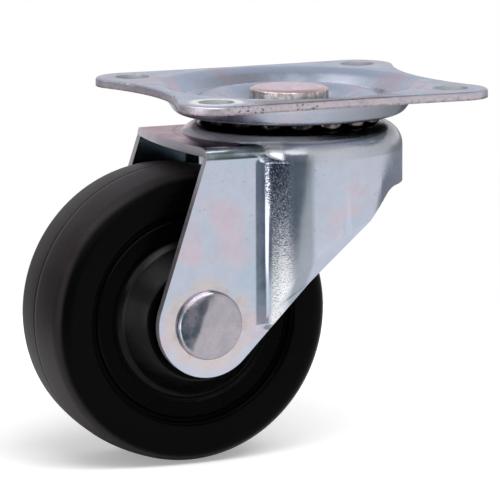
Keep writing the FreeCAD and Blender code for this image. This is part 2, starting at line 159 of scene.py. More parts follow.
# Top plate
DISH_WALL = (17.5, 18.0, 23.2, 23.6)
DISH_WALL_TOP = (-0.2, -2.6)
PLATE_EDGE = (23.1, 23.6)
HOLE_BORE = (3.4, 3.2)
BURR_LINE = (-1.0, -1.4)
RUST_SIDE = (-23.5, -20.0, -7.0, -0.5)
RUST_DEPTH = (-16.0, -20.0)
RUST_RADIUS = (23.2, 23.6)
# Painted highlight round the near left ear's hole
EAR_HIGHLIGHT_RING = (5.2, 3.8)
EAR_HIGHLIGHT_CORNER = (-10.0, -14.0)
UNDERSIDE = (-1.6, -2.0)
UNDERSIDE_SHADE = (-14.0, 14.0)
NEAR_STRIP_SIDE = (-17.0, -14.0, 4.0, 14.0)
NEAR_STRIP_DEPTH = (-18.5, -21.5)
NEAR_STRIP_HEIGHT = (-0.30, -0.12)

# Kingpin, tread, balls and the axle's head
CAP_RIM = (5.4, 5.9)
CAP_RIM_HEIGHT = (-1.2, -1.0)
CAP_HEIGHT = (-1.1, -0.85)
TREAD_RADIUS = (23.1, 24.3)
# Painted shade over the balls, darkest at the left
LEFT_BALL_SHADE = (1.0, -6.0)
FACET_SLOPE = (6.2, 0.6)
FACET_DARK_PART = (1.0, 2.4)

# How much of a face's normal lies along one axis, where a finish starts and where it is full
LEVEL = (0.75, 0.90)
SLOPING_UP = (0.3, 0.5)
UPRIGHT = (0.75, 0.45)
FACING_DOWN = (0.0, -0.15)
FACING_AHEAD = (-0.45, -0.70)
FLAT_SIDE = (0.90, 0.98)

# Colours of marks, stains and worn places, and of painted shade, highlights and reflections
WHITE = (1.0, 1.0, 1.0, 1.0)
PIT = (0.10, 0.085, 0.075, 1.0)
# Painted reflection: dark and bright grains beside the fork's crease
PEEL_REFLECTION_DARK_LOW = (0.34, 0.38, 0.43, 1.0)
PEEL_REFLECTION_DARK_HIGH = (0.045, 0.055, 0.095, 1.0)
PEEL_REFLECTION_BRIGHT_HIGH = (0.62, 0.64, 0.70, 1.0)
FRONT_FILM = (0.34, 0.265, 0.295, 1.0)
FRONT_STAIN = (0.27, 0.21, 0.19, 1.0)
FRONT_SHEEN = (0.70, 0.58, 0.64, 1.0)
# Painted shade in the valley at the crest's foot
CREST_FOOT_SHADE = (0.085, 0.068, 0.055, 1.0)
CROWN_GREY = (0.48, 0.485, 0.48, 1.0)
# Painted dark reflection down the swelled side
PAINTED_DARK_REFLECTION = (0.20, 0.235, 0.255, 1.0)
# Painted greenish shade along the bend into each leg
BEND_PAINTED_SHADE = (0.10, 0.125, 0.120, 1.0)
AXLE_HALO = (0.60, 0.51, 0.49, 1.0)
AXLE_STAIN = (0.42, 0.37, 0.29, 1.0)
CUT_EDGE = (0.60, 0.54, 0.58, 1.0)
# Painted greenish shade on the fork's inner faces
INSIDE_PAINTED_SHADE = (0.16, 0.24, 0.24, 1.0)
SHEARED_LIGHT = (0.55, 0.49, 0.54, 1.0)
SHEARED_DARK = (0.46, 0.43, 0.48, 1.0)
BURR_BROWN = (0.26, 0.19, 0.17, 1.0)
RUST = (0.085, 0.050, 0.040, 1.0)
BORE_GREY = (0.44, 0.48, 0.49, 1.0)
# Painted highlight round the near left ear's hole
EAR_PAINTED_HIGHLIGHT = (0.95, 0.93, 0.92, 1.0)
# Painted shade under the dish
UNDERSIDE_PAINTED_SHADE = (0.17, 0.18, 0.20, 1.0)
NEAR_STRIP_BROWN = (0.27, 0.235, 0.25, 1.0)
PIN_SIDE_LIGHT = (0.70, 0.65, 0.61, 1.0)
PIN_SIDE_DARK = (0.36, 0.32, 0.29, 1.0)
CAP_PINK = (0.62, 0.47, 0.54, 1.0)
CAP_GREY = (0.54, 0.45, 0.51, 1.0)
CAP_RIM_RED = (0.70, 0.42, 0.47, 1.0)
RIVET_LIGHT = (0.42, 0.385, 0.43, 1.0)
RIVET_GREY = (0.36, 0.345, 0.385, 1.0)
# Painted dark reflection on the rivet head's slanted facet
FACET_PAINTED_DARK = (0.12, 0.175, 0.195, 1.0)
LINT = (0.045, 0.040, 0.038, 1.0)

# Light of the room, and the floor
ROOM_LIGHT = (0.55, 0.55, 0.56, 1.0)
FLOOR_WHITE = (0.86, 0.86, 0.86, 1.0)
FLOOR_GLOW = 0.30

# Lamps: azimuth and elevation, distance, width and height, power, and whether reflections show the lamp
LAMPS = (
    ("overhead", -122.0, 59.0, 0.5, 0.26, 0.20, 0.80, True),
    ("left_window", -163.0, -2.0, 0.5, 0.22, 0.34, 0.50, True),
    ("room", -60.0, 60.0, 0.9, 0.60, 0.60, 5.00, False),
)

# Cards that only reflections see: azimuths from +X towards +Y, elevations, lower and upper shade
CARD_DISTANCE = 0.40
REFLECTOR_CARDS = (
    ("camera_gap", (-124.0, -92.5), (-45.0, 20.0), (0.19, 0.23, 0.27, 1.0), (0.19, 0.23, 0.27, 1.0)),
    ("left_middle", (-146.0, -124.0), (-45.0, 20.0), (0.14, 0.16, 0.20, 1.0), (0.14, 0.16, 0.20, 1.0)),
    ("front_softbox", (-142.0, -97.0), (20.0, 47.0), (2.20, 2.18, 2.16, 1.0), (0.90, 0.90, 0.90, 1.0)),
    ("left_room", (-250.0, -180.0), (-45.0, 40.0), (0.26, 0.27, 0.28, 1.0), (0.20, 0.22, 0.24, 1.0)),
    ("left_high", (-214.0, -168.0), (40.0, 66.0), (3.20, 3.18, 3.16, 1.0), (3.20, 3.18, 3.16, 1.0)),
    ("softbox_corner", (-92.5, -82.0), (20.0, 76.0), (0.80, 0.80, 0.80, 1.0), (0.34, 0.35, 0.36, 1.0)),
    ("right_upper", (-82.0, 25.0), (30.0, 76.0), (0.80, 0.80, 0.80, 1.0), (0.34, 0.35, 0.36, 1.0)),
    ("ceiling", (-180.0, 180.0), (76.0, 90.0), (0.38, 0.40, 0.44, 1.0), (0.46, 0.50, 0.56, 1.0)),
    ("right_low", (5.0, 72.0), (-45.0, 4.5), (0.26, 0.28, 0.32, 1.0), (0.28, 0.30, 0.33, 1.0)),
    ("back", (25.0, 115.0), (4.5, 24.0), (1.10, 1.06, 1.06, 1.0), (0.92, 0.91, 0.93, 1.0)),
    ("back_upper", (25.0, 115.0), (24.0, 76.0), (0.85, 0.88, 0.93, 1.0), (0.50, 0.54, 0.60, 1.0)),
)


# Sizes and colours that a user may change

class CastorFinish(bpy.types.PropertyGroup):
    """Colours and surface sizes of the castor's pieces"""

    zinc: bpy.props.FloatVectorProperty(
        name="Zinc", description="Colour of the bright zinc plating",
        default=(0.495, 0.535, 0.635), subtype="COLOR", size=3, min=0.0, max=1.0)
    zinc_pink: bpy.props.FloatVectorProperty(
        name="Zinc, warm film", description="Pink film that the passivation leaves in patches",
        default=(0.600, 0.490, 0.560), subtype="COLOR", size=3, min=0.0, max=1.0)
    zinc_cyan: bpy.props.FloatVectorProperty(
        name="Zinc, cold film", description="Pale blue film that the passivation leaves in patches",
        default=(0.400, 0.530, 0.620), subtype="COLOR", size=3, min=0.0, max=1.0)
    rubber: bpy.props.FloatVectorProperty(
        name="Rubber", description="Colour of the tread",
        default=(0.0125, 0.0075, 0.0085), subtype="COLOR", size=3, min=0.0, max=1.0)
    rubber_side: bpy.props.FloatVectorProperty(
        name="Rubber, sides", description="Colour of the tyre's moulded sides",
        default=(0.0012, 0.0012, 0.0012), subtype="COLOR", size=3, min=0.0, max=1.0)
    # Grease colour, which also serves as painted shade in the race and over the balls at its left
    grease_and_shade: bpy.props.FloatVectorProperty(
        name="Grease", description="Dark grease in the ball race",
        default=(0.0045, 0.0042, 0.0030), subtype="COLOR", size=3, min=0.0, max=1.0)
    plastic: bpy.props.FloatVectorProperty(
        name="Wheel centre", description="Colour of the wheel's centre",
        default=(0.0014, 0.0014, 0.0014), subtype="COLOR", size=3, min=0.0, max=1.0)
    ball: bpy.props.FloatVectorProperty(
        name="Balls", description="Colour of the oiled steel balls",
        default=(0.080, 0.070, 0.060), subtype="COLOR", size=3, min=0.0, max=1.0)
    edge_round: bpy.props.FloatProperty(
        name="Edge round", description="Radius of the burnished sheet edges",
        default=0.16 * MM, min=0.0, unit="LENGTH", precision=5)


class CastorStudio(bpy.types.PropertyGroup):
    """Camera and floor of the studio"""

    camera_place: bpy.props.FloatVectorProperty(
        name="Camera place", description="Where the camera stands",
        default=(-0.266095, -0.597920, 0.083133), subtype="XYZ", unit="LENGTH", size=3, precision=5)
    camera_turn: bpy.props.FloatProperty(
        name="Camera turn", description="Turn of the view from the wheel's axle towards +X",
        default=math.radians(23.398), subtype="ANGLE")
    camera_drop: bpy.props.FloatProperty(
        name="Camera drop", description="How far the camera looks down",
        default=math.radians(9.708), subtype="ANGLE")
    camera_roll: bpy.props.FloatProperty(
        name="Camera roll", description="Small lean of the camera",
        default=math.radians(-0.2565), subtype="ANGLE")
    lens: bpy.props.FloatProperty(
        name="Lens", description="Focal length in millimetres", default=280.07, min=1.0)
    floor_radius: bpy.props.FloatProperty(
        name="Floor radius", description="Radius of the pale floor", default=0.13, unit="LENGTH")


def looks():
    """The user's colours and surface sizes"""
    return bpy.context.scene.castor_finish


def studio():
    """The user's camera and floor"""
    return bpy.context.scene.castor_studio


# Material building

class Nodes:
    """Short calls for building one material's node tree"""

    def __init__(self, name):
        self.material = bpy.data.materials.new(name)
        self.material.use_nodes = True
        self.tree = self.material.node_tree
        self.tree.nodes.clear()
        self.output = self.tree.nodes.new("ShaderNodeOutputMaterial")
        place = self.tree.nodes.new("ShaderNodeTexCoord")
        self.position = place.outputs["Object"]
        self.facing = place.outputs["Normal"]
        self.across = place.outputs["Generated"]

    def node(self, kind, inputs=None, **settings):
        made = self.tree.nodes.new(kind)
        for key, value in settings.items():
            setattr(made, key, value)
        for key, value in (inputs or {}).items():
            self.put(made.inputs[key], value)
        return made

    def put(self, socket, value):
        if isinstance(value, bpy.types.NodeSocket):
            self.tree.links.new(value, socket)
        else:
            socket.default_value = value

    def finish_with(self, shader):
        """Joins the last shader to the output and hands the material over"""
        self.tree.links.new(shader.outputs[0], self.output.inputs["Surface"])
        return self.material

    def surface(self, **sockets):
        """Principled surface, with each socket's name written with underscores"""
        shader = self.node("ShaderNodeBsdfPrincipled")
        for key, value in sockets.items():
            self.put(shader.inputs[key.replace("_", " ")], value)
        return self.finish_with(shader)

    def axes(self, at=None):
        """X, Y and Z of a vector, by default of the place on the piece"""
        return self.node("ShaderNodeSeparateXYZ", {"Vector": at or self.position}).outputs

    def stretched(self, scale):
        made = self.node("ShaderNodeMapping", {"Vector": self.position, "Scale": scale})
        return made.outputs["Vector"]

    def math(self, operation, a, b=0.0):
        made = self.node("ShaderNodeMath", operation=operation)
        self.put(made.inputs[0], a)
        self.put(made.inputs[1], b)
        return made.outputs[0]

    def add(self, a, b):
        return self.math("ADD", a, b)

    def take(self, a, b):
        """The first less the second"""
        return self.math("SUBTRACT", a, b)

    def most(self, a, b):
        """The larger of two values"""
        return self.math("MAXIMUM", a, b)

    def size(self, a):
        """A value without its sign"""
        return self.math("ABSOLUTE", a)

    def times(self, first, *others):
        """All the values multiplied, such as shares that have to hold together"""
        product = first
        for other in others:
            product = self.math("MULTIPLY", product, other)
        return product

    def length(self, a, b):
        """Length of the way with these two parts at a right angle"""
        return self.math("SQRT", self.add(self.times(a, a), self.times(b, b)))

    def noise(self, scale, detail=2.0, rough=0.5, warp=0.0, at=None):
        made = self.node("ShaderNodeTexNoise", {
            "Vector": at or self.position, "Scale": scale, "Detail": detail,
            "Roughness": rough, "Distortion": warp})
        return made.outputs["Fac"]

    def ramp(self, value, start, full, low=0.0, high=1.0, shape="SMOOTHSTEP"):
        """Fades a value from low at its start to high where it is full"""
        made = self.node("ShaderNodeMapRange", {
            "Value": value, "From Min": start, "From Max": full, "To Min": low, "To Max": high},
            interpolation_type=shape)
        return made.outputs["Result"]

    def patches(self, noise, start, full, low=0.0, high=1.0):
        """Uneven patches from a noise given as (scale, detail, roughness, warp, place)"""
        return self.ramp(self.noise(*noise), start, full, low, high)

    def past(self, place, stretch, low=0.0, high=1.0, shape="SMOOTHSTEP"):
        """Fades along a stretch given in millimetres"""
        return self.ramp(place, stretch[0] * MM, stretch[1] * MM, low, high, shape)

    def within(self, place, band):
        """1 between the inner two of four places in millimetres, and 0 outside the outer two"""
        return self.times(self.past(place, band[:2]), self.past(place, band[:1:-1]))

    def mix(self, share, a, b):
        made = self.node("ShaderNodeMix", data_type="RGBA")
        self.put(made.inputs[0], share)
        self.put(made.inputs[6], a)
        self.put(made.inputs[7], b)
        return made.outputs[2]

    def bump(self, height, distance, strength=1.0, below=None):
        made = self.node("ShaderNodeBump", {
            "Height": height, "Distance": distance, "Strength": strength})
        if below is not None:
            self.put(made.inputs["Normal"], below)
        return made.outputs["Normal"]


def colour(value, strength=1.0):
    """A user's colour with its alpha, lighter or darker by a strength"""
    return (value[0] * strength, value[1] * strength, value[2] * strength, 1.0)


def from_axle(n):
    """Place across and up from the wheel's axle"""
    x, y, z = n.axes()
    return n.take(x, AXLE.x), n.take(z, AXLE.z)


def axle_radius(n):
    """Distance from the wheel's axle"""
    return n.length(*from_axle(n))


def swivel_radius(n):
    """Distance from the swivel axis"""
    x, y, z = n.axes()
    return n.length(x, y)


# Finishes that all zinc pieces share

def zinc_film(n):
    """Lavender zinc with pink and pale blue patches of passivation film"""
    f = looks()
    warm = n.patches((85.0, 4.0, 0.6, 0.8), 0.48, 0.62)
    cold = n.patches((62.0, 4.0, 0.55, 0.6, n.stretched((1.0, 1.3, 0.7))), 0.52, 0.68)
    cloud = n.patches((380.0, 5.0, 0.7), 0.30, 0.72)
    base = n.mix(n.times(warm, 0.75), colour(f.zinc), colour(f.zinc_pink))
    base = n.mix(n.times(cold, 0.7), base, colour(f.zinc_cyan))
    return n.mix(n.times(cloud, 0.22), base, colour(f.zinc, 0.70))


def speckled(n, base, amount=1.0):
    """Small dark pits and handling marks over a plated colour"""
    pits = n.patches((1500.0, 2.0, 0.6), 0.68, 0.76)
    sparse = n.patches((160.0, 1.0), 0.50, 0.64)
    return n.mix(n.times(pits, sparse, 0.65 * amount), base, PIT)


def sheet_zinc(n, base, rough, relief=None, metal=1.0, rim=WHITE):
    """Satin zinc with the grain, dents and scratches of pressed sheet, and a piece's own relief over them"""
    grain = n.bump(n.noise(1100.0, 3.0, 0.6), 0.006 * MM, 0.5)
    dents = n.bump(n.noise(150.0, 3.0), 0.05 * MM, 0.35, grain)
    scratches = n.patches((420.0, 2.0, 0.7, 0.2, n.stretched((1.0, 1.0, 0.08))), 0.60, 0.66)
    normal = n.bump(scratches, 0.006 * MM, 0.4, dents)
    if relief is not None:
        normal = relief(n, normal)
    return n.surface(Base_Color=base, Metallic=metal, Roughness=rough, Normal=normal, Specular_Tint=rim)


def in_race(n, reach):
    """1 in the open ball race between dish and crown, and less beside it, where grease and painted shade spread"""
    x, y, z = n.axes()
    radius = swivel_radius(n)
    spread = n.times(n.past(radius, SPREAD_RADIUS), n.past(x, SPREAD_SIDE, 0.06, 0.92))
    spread = n.times(spread, n.patches((170.0, 3.0), 0.20, 0.55, 0.5, 1.0))
    level = n.times(n.past(z, RACE_FLOOR), n.past(z, RACE_ROOF))
    return n.times(n.most(n.past(radius, reach), spread), level)


def greased_and_shaded(n, base, reach=DISH_RACE):
    """Dark grease and painted shade over a plated colour, inside the ball race"""
    # grease together with painted shade in the deep race
    return n.mix(n.times(in_race(n, reach), 0.93), base, colour(looks().grease_and_shade))


# Fork

def beside_crease(n):
    """1 in the strip of the fork's swelled side next to its upright crease, on both sides"""
    x, y, z = n.axes()
    narrowed = n.add(x, n.past(z, PEEL_NARROWING, 0.0, 1.0 * MM))
    strip = n.times(n.past(narrowed, PEEL_LEFT), n.past(x, PEEL_RIGHT))
    return n.times(strip, n.past(n.size(y), LEG_OUTSIDE), n.past(z, BULGE_TOP))


def fork_relief(n, below):
    """Rounded crease beside the swelled side, and the rough skin of the drawn steel next to it

    The crease fades out towards its top only where it is, so that no line runs on across the crown."""
    x, y, z = n.axes()
    foot, top = n.past(z, CREASE_FOOT), n.past(z, CREASE_TOP)
    hollow = n.math("POWER", n.past(x, CREASE_HOLLOW, shape="LINEAR"), 1.7)
    hollow = n.times(hollow, foot, n.most(top, n.past(x, PAST_HOLLOW)))
    normal = n.bump(hollow, 0.90 * MM, 1.0, below)
    fall = n.past(x, CREASE_LIP, shape="LINEAR")
    lip = n.times(n.take(1.0, n.times(fall, fall)), foot, n.most(top, n.past(x, PAST_LIP)))
    normal = n.bump(lip, 0.26 * MM, 1.0, normal)
    peel = n.times(n.noise(4600.0, 2.0, 0.6), beside_crease(n))
    return n.bump(peel, 0.04 * MM, 1.0, normal)


def peel_reflection_grain(n, base):
    """Painted reflection in light and dark grains over the rough drawn skin, darker towards its top"""
    height = n.past(n.axes()[2], PEEL_HEIGHT)
    limit = n.add(0.40, n.times(height, 0.13))
    light = n.ramp(n.take(n.noise(4300.0, 3.0, 0.7), limit), -0.05, 0.09)
    dark = n.mix(height, PEEL_REFLECTION_DARK_LOW, PEEL_REFLECTION_DARK_HIGH)
    bright = n.mix(height, WHITE, PEEL_REFLECTION_BRIGHT_HIGH)
    # painted reflection in the grains beside the crease
    return n.mix(n.times(beside_crease(n), 0.92), base, n.mix(light, dark, bright))


def front_top(n):
    """1 on the fork's level top ahead of the crown"""
    x, y, z = n.axes()
    level = n.ramp(n.axes(n.facing)[2], *LEVEL)
    return n.times(n.past(z, FRONT_TOP), n.past(x, AHEAD_OF_CROWN), level)


def mouth_edge(n):
    """1 on the cut edge of the sheet round the fork's mouth"""
    return n.times(n.ramp(n.axes(n.facing)[0], *FACING_AHEAD), n.past(n.axes()[0], MOUTH))


def crest_side(n, band, reach):
    """1 on a ring of the crown's crest, on its side towards the fork's mouth"""
    slope = n.ramp(n.axes(n.facing)[2], *SLOPING_UP)
    return n.times(n.within(swivel_radius(n), band), n.past(n.axes()[0], reach), slope)


def crown_marks(n, base, top):
    """Pinkish stains ahead of the crown, painted shade in the valley at the foot of its crest, and a grey tone
    over it
    """
    stained = n.mix(n.patches((210.0, 3.0, 0.6), 0.40, 0.62), FRONT_FILM, FRONT_STAIN)
    base = n.mix(n.times(top, 0.9), base, stained)
    worn = n.patches((260.0, 3.0, 0.6), 0.25, 0.55, 0.45, 0.95)
    # patchy painted shade in the valley at the crest's foot
    base = n.mix(n.times(crest_side(n, CREST_FOOT, CREST_FOOT_SIDE), worn), base, CREST_FOOT_SHADE)
    crown = n.times(n.past(n.axes()[2], CROWN_HEIGHT), n.past(swivel_radius(n), CROWN_RADIUS))
    return n.mix(n.times(crown, 0.45), base, CROWN_GREY)


def bend_marks(n, base):
    """Painted dark reflection in a band down the swelled side, and painted greenish shade along the bend from the
    front top into each leg
    """
    x, y, z = n.axes()
    side = n.size(y)
    dark_band = n.times(n.within(x, DARK_REFLECTION_BAND), n.past(side, LEG_OUTSIDE), n.past(z, BULGE_TOP))
    # painted dark reflection down the swelled side
    base = n.mix(n.times(dark_band, 0.60), base, PAINTED_DARK_REFLECTION)
    bend = n.times(n.past(side, BEND_DEPTH), n.within(z, BEND_HEIGHT), n.past(x, BEND_SIDE))
    # painted greenish shade along the bend
    return n.mix(n.times(bend, n.patches((300.0, 3.0, 0.6), 0.25, 0.60, 0.55, 0.90)), base, BEND_PAINTED_SHADE)


def axle_marks(n, base):
    """Warm halo and brown stain round the axle's head"""
    radius = axle_radius(n)
    halo = n.times(n.past(radius, HALO_RADIUS), n.patches((240.0, 3.0, 0.6), 0.28, 0.58))
    base = n.mix(n.times(halo, 0.75), base, AXLE_HALO)
    stain = n.times(n.past(radius, STAIN_RADIUS), n.patches((330.0, 4.0, 0.65), 0.44, 0.66))
    return n.mix(n.times(stain, 0.55), base, AXLE_STAIN)


def shaded_inside(n, base, mouth):
    """Painted greenish shade on the fork's inner faces"""
    x, y, z = n.axes()
    inner = n.times(n.past(n.size(y), LEG_INSIDE), n.past(z, SHEET_UNDERSIDE), n.take(1.0, mouth))
    inner = n.times(inner, n.most(n.past(x, INSIDE_LEGS), n.past(swivel_radius(n), INSIDE_SKIRT)))
    # painted shade inside the fork
    return n.mix(n.times(inner, 0.80), base, INSIDE_PAINTED_SHADE)


def fork_zinc(name):
    """Zinc on the fork: stained round the axle, with grease and painted shade in the race, painted shade inside,
    along the bends and at the crest's foot, painted reflections down the swelled side, and pinkish at the front
    """
    n = Nodes(name)
    x, y, z = n.axes()
    top, mouth = front_top(n), mouth_edge(n)
    base = crown_marks(n, speckled(n, zinc_film(n)), top)
    base = axle_marks(n, bend_marks(n, base))
    base = n.mix(n.times(mouth, 0.85), base, CUT_EDGE)
    base = shaded_inside(n, base, mouth)
    base = peel_reflection_grain(n, greased_and_shaded(n, base, CROWN_RACE))
    satin = n.patches((240.0, 3.0, 0.6), 0.3, 0.7, 0.15, 0.23)
    shoulder = n.times(n.within(z, SHOULDER_HEIGHT), n.past(x, SHOULDER_SIDE))
    rough = n.add(satin, n.times(n.most(mouth, n.times(shoulder, 0.4)), 0.25))
    metal = n.take(1.0, n.times(crest_side(n, CREST_FLANK, CREST_FLANK_SIDE), 0.55))
    rim = n.mix(n.times(top, 0.9), WHITE, FRONT_SHEEN)
    return sheet_zinc(n, base, rough, fork_relief, metal, rim)


# Top plate

def dish_relief(n, below):
    """Eases the upper part of the dish's wall into the face"""
    fall = n.past(n.axes()[2], DISH_WALL_TOP, shape="LINEAR")
    return n.bump(n.times(fall, n.within(swivel_radius(n), DISH_WALL)), 0.50 * MM, 1.0, below)


def hole_radius(n):
    """Distance from the middle of the nearest bolt hole"""
    x, y, z = n.axes()
    return n.length(n.take(n.size(x), BOLT_HOLES["spacing_x_mm"] / 2 * MM),
                    n.take(n.size(y), BOLT_HOLES["spacing_y_mm"] / 2 * MM))


def sheared_edge(n, base, edge):
    """Pinkish torn steel on the plate's cut edge, with a brown burr along its lower side"""
    torn = n.noise(1500.0, 4.0, 0.7)
    burr = n.times(n.past(n.axes()[2], BURR_LINE), n.ramp(torn, 0.30, 0.60, 0.35, 1.0))
    sheared = n.mix(n.ramp(torn, 0.35, 0.65), SHEARED_LIGHT, SHEARED_DARK)
    return n.mix(edge, base, n.mix(n.times(burr, 0.8), sheared, BURR_BROWN))


def edge_rust(n, base):
    """Specks of rust on the near edge, most of them at the left"""
    x, y, z = n.axes()
    worst = n.add(0.25, n.times(n.within(x, RUST_SIDE), 0.75))
    specks = n.times(n.patches((1500.0, 3.0, 0.7), 0.56, 0.63), n.patches((140.0, 2.0), 0.38, 0.56))
    rust = n.times(specks, worst, n.past(y, RUST_DEPTH), n.past(swivel_radius(n), RUST_RADIUS))
    return n.mix(n.times(rust, 0.9), base, RUST)


def ear_highlight(n, base, hole, bore):
    """Painted highlight round the hole of the near left ear"""
    x, y, z = n.axes()
    patch = n.take(n.patches((230.0, 3.0, 0.6), 0.30, 0.50), bore)
    ear = n.times(n.past(hole, EAR_HIGHLIGHT_RING), n.past(x, EAR_HIGHLIGHT_CORNER), n.past(y, EAR_HIGHLIGHT_CORNER))
    # painted highlight round the ear's hole
    return n.mix(n.times(n.most(n.times(ear, patch), 0.0), 0.85), base, EAR_PAINTED_HIGHLIGHT)


def shaded_underside(n, base):
    """Painted shade under the dish, darkest at the right"""
    x, y, z = n.axes()
    under = n.times(n.past(z, UNDERSIDE), n.ramp(n.axes(n.facing)[2], *FACING_DOWN))
    # painted shade on the downward faces under the dish
    return n.mix(n.times(under, n.past(x, UNDERSIDE_SHADE, 0.05, 0.90)), base, UNDERSIDE_PAINTED_SHADE)


def near_edge_strip(n, base):
    """Darker brownish patches on the face along the near edge"""
    x, y, z = n.axes()
    strip = n.times(n.past(y, NEAR_STRIP_DEPTH), n.within(x, NEAR_STRIP_SIDE), n.past(z, NEAR_STRIP_HEIGHT))
    return n.mix(n.times(strip, n.patches((420.0, 3.0, 0.6), 0.30, 0.60, 0.45, 0.85)), base, NEAR_STRIP_BROWN)


def plate_zinc(name):
    """Zinc on the plate: clean faces, and sheared edges that are pinkish with a brown lower line, with painted
    shade under the dish and in the race and a painted highlight round the near left ear's hole
    """
    n = Nodes(name)
    upright = n.ramp(n.size(n.axes(n.facing)[2]), *UPRIGHT)
    edge = n.times(upright, n.past(swivel_radius(n), PLATE_EDGE))
    hole = hole_radius(n)
    bore = n.times(n.past(hole, HOLE_BORE), upright)
    base = sheared_edge(n, speckled(n, zinc_film(n), 1.2), edge)
    base = n.mix(n.times(bore, 0.9), edge_rust(n, base), BORE_GREY)
    base = ear_highlight(n, base, hole, bore)
    base = near_edge_strip(n, shaded_underside(n, base))
    satin = n.patches((240.0, 3.0, 0.6), 0.3, 0.7, 0.24, 0.34)
    rough = n.add(n.add(satin, n.times(edge, 0.22)), n.times(bore, 0.15))
    base = greased_and_shaded(n, base)
    return sheet_zinc(n, base, rough, dish_relief, 1.0, n.mix(0.50, WHITE, base))


# Smaller pieces

def cup_zinc(name):
    """Plain zinc on the cup under the crown, with grease and painted shade in the race"""
    n = Nodes(name)
    return sheet_zinc(n, greased_and_shaded(n, zinc_film(n)), n.patches((240.0, 3.0), 0.3, 0.7, 0.28, 0.40))


def kingpin_zinc(name):
    """Kingpin: pink-lavender top, and a side that is yellowish and streaked from its forming"""
    n = Nodes(name)
    z = n.axes()[2]
    streak = n.noise(700.0, 4.0, 0.65, 0.2, n.stretched((1.0, 1.0, 0.6)))
    side = n.mix(n.ramp(streak, 0.38, 0.62), PIN_SIDE_LIGHT, PIN_SIDE_DARK)
    cap = n.mix(n.patches((500.0, 3.0, 0.6), 0.35, 0.65), CAP_PINK, CAP_GREY)
    rim = n.times(n.past(swivel_radius(n), CAP_RIM), n.past(z, CAP_RIM_HEIGHT))
    cap = n.mix(n.times(rim, 0.8), cap, CAP_RIM_RED)
    base = speckled(n, n.mix(n.past(z, CAP_HEIGHT), side, cap), 1.6)
    rough = n.ramp(streak, 0.3, 0.7, 0.28, 0.42)
    normal = n.bump(n.noise(800.0, 3.0, 0.6), 0.02 * MM, 0.5)
    return n.surface(Base_Color=base, Metallic=1.0, Roughness=rough, Normal=normal)


def rivet_zinc(name):
    """Axle rivet: a hammered head with one slanted facet, painted dark on that facet as a dark reflection"""
    n = Nodes(name)
    across, up = from_axle(n)
    slant = n.add(n.times(across, -0.83), n.times(up, 0.40))
    base = n.mix(n.patches((300.0, 4.0, 0.6, 0.5), 0.40, 0.62), RIVET_LIGHT, RIVET_GREY)
    facet_dark = n.times(n.past(slant, FACET_DARK_PART), n.patches((330.0, 2.0, 0.5), 0.38, 0.58))
    # painted dark reflection on the slanted facet
    base = n.mix(n.times(facet_dark, 0.75), speckled(n, base, 1.3), FACET_PAINTED_DARK)
    wobble = n.times(n.take(n.noise(260.0, 1.0), 0.5), 1.0 * MM)
    facet = n.past(n.add(slant, wobble), FACET_SLOPE)
    hammered = n.bump(facet, 1.7 * MM, 1.0)
    dimples = n.bump(n.noise(380.0, 1.0, 0.5), 0.05 * MM, 0.5, hammered)
    normal = n.bump(n.noise(1500.0, 2.0), 0.010 * MM, 0.5, dimples)
    rough = n.patches((500.0, 3.0), 0.3, 0.7, 0.20, 0.32)
    return n.surface(Base_Color=base, Metallic=1.0, Roughness=rough, Normal=normal)


def oiled_ball(name):
    """Oiled steel, darkened at the left of the race by grease and painted shade"""
    n = Nodes(name)
    f = looks()
    base = n.mix(n.patches((900.0, 2.0), 0.4, 0.7), colour(f.ball, 2.2), colour(f.ball, 0.5))
    # painted shade over the balls at the left, in the grease colour
    base = n.mix(n.past(n.axes()[0], LEFT_BALL_SHADE, 0.0, 0.85), base, colour(f.grease_and_shade))
    rough = n.patches((600.0, 2.0), 0.3, 0.7, 0.12, 0.26)
    return n.surface(Base_Color=base, Metallic=1.0, Roughness=rough)


def tread_rubber(name):
    """Black rubber, browner and duller on the tread, with a few light specks"""
    n = Nodes(name)
    f = looks()
    worn = n.past(axle_radius(n), TREAD_RADIUS)
    tread = n.mix(n.patches((130.0, 4.0, 0.6), 0.35, 0.75), colour(f.rubber, 0.65), colour(f.rubber, 1.25))
    base = n.mix(worn, colour(f.rubber_side), tread)
    base = n.mix(n.times(n.patches((1700.0, 2.0), 0.72, 0.78), 0.5), base, LINT)
    rough = n.ramp(worn, 0.0, 1.0, 0.30, 0.50)
    shine = n.ramp(worn, 0.0, 1.0, 0.035, 0.20)
    normal = n.bump(n.noise(1400.0, 3.0, 0.6), 0.02 * MM, 0.4)
    return n.surface(Base_Color=base, Roughness=rough, Normal=normal, Specular_IOR_Level=shine)


def gloss_plastic(name):
    """Black moulding with faint flow marks, glossy on its walls and duller on its flat sides"""
    n = Nodes(name)
    f = looks()
    base = n.mix(n.noise(200.0, 3.0), colour(f.plastic, 0.5), colour(f.plastic, 1.2))
    rough = n.patches((260.0, 3.0), 0.3, 0.7, 0.22, 0.34)
    flat = n.ramp(n.size(n.axes(n.facing)[1]), *FLAT_SIDE)
    shine = n.take(0.13, n.times(flat, 0.108))
    normal = n.bump(n.noise(500.0, 2.0), 0.01 * MM, 0.4)
    return n.surface(Base_Color=base, Roughness=rough, Normal=normal, Specular_IOR_Level=shine)


# Mesh building

def dress(node, material):
    """Gives a CAD node its finish"""
    target = frame["nodes"][node]
    target.data.materials.clear()
    target.data.materials.append(material)
    return target


def soften_edges(target, width):
    """Rolls the sharp edges of a CAD node over by a small round"""
    weld = target.modifiers.new("weld", "WELD")
    weld.merge_threshold = WELD_GAP
    bevel = target.modifiers.new("edge", "BEVEL")
    bevel.width = width
    bevel.segments = EDGE_STEPS
    bevel.limit_method = "ANGLE"
    bevel.angle_limit = math.radians(SHARP_ANGLE)
    bevel.harden_normals = True


